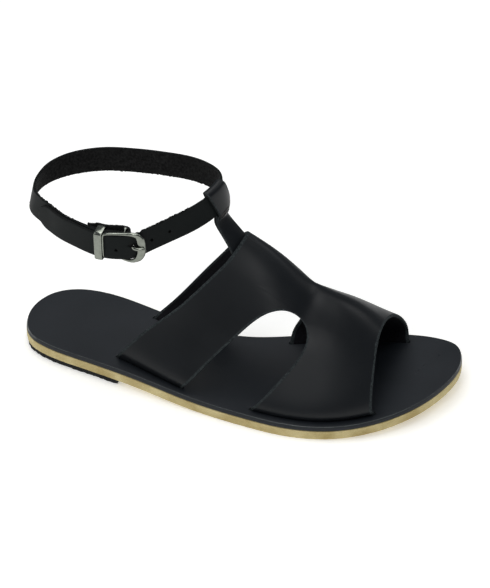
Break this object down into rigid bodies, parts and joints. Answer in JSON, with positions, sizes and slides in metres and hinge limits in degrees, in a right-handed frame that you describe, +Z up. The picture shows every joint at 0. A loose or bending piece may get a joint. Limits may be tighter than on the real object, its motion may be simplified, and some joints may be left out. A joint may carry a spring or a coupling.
{
  "type": "leather sandal with ankle strap",
  "caption": "Flat leather sandal with a wide two-band instep upper, side cut-outs, a T strap and a buckled ankle strap.",
  "frame": {"origin": "on the floor, under the middle of the whole sandal's box", "axes": "+X from heel to toe, +Y to the inner (medial) side of the right foot, +Z up"},
  "size_m": [0.2538, 0.0972, 0.1253],
  "materials": {
    "lift_rubber": "matt black rubber",
    "sole_leather": "raw tan leather, cut edge",
    "bed_leather": "smooth black leather",
    "upper_leather": "smooth black leather, satin",
    "strap_leather": "smooth black leather outside, raw flesh side inside",
    "buckle_metal": "polished nickel plate"
  },
  "bodies": {
    "root": {"heel_lift": "lift_rubber", "outsole": "sole_leather", "footbed": "bed_leather", "upper": "upper_leather", "t_strap": "upper_leather", "ankle_strap": "strap_leather", "buckle_frame": "buckle_metal", "prong": "buckle_metal", "keeper": "buckle_metal"}
  },
  "joints": []
}
